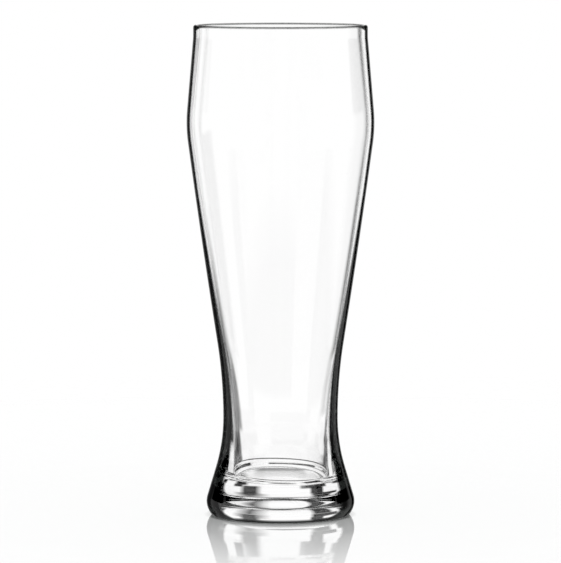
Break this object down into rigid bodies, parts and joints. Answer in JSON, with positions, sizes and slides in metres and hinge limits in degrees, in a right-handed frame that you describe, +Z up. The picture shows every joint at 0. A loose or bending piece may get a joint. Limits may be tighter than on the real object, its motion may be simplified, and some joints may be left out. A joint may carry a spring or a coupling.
{
  "type": "weizen glass",
  "caption": "Tall clear beer glass with an upright rounded rim, flared bowl with a high bulge, narrow waist, flared foot and thick solid base.",
  "frame": {"origin": "centre of the plane of the standing ring, under the middle of the base", "axes": "+Z up along the axis of the glass, from the base to the rim; X and Y lie in the standing plane and are alike"},
  "size_m": [0.0858, 0.0858, 0.225],
  "materials": {
    "glass": "colourless soda-lime glass, fire-polished"
  },
  "bodies": {
    "root": {"glass": "glass"}
  },
  "joints": []
}
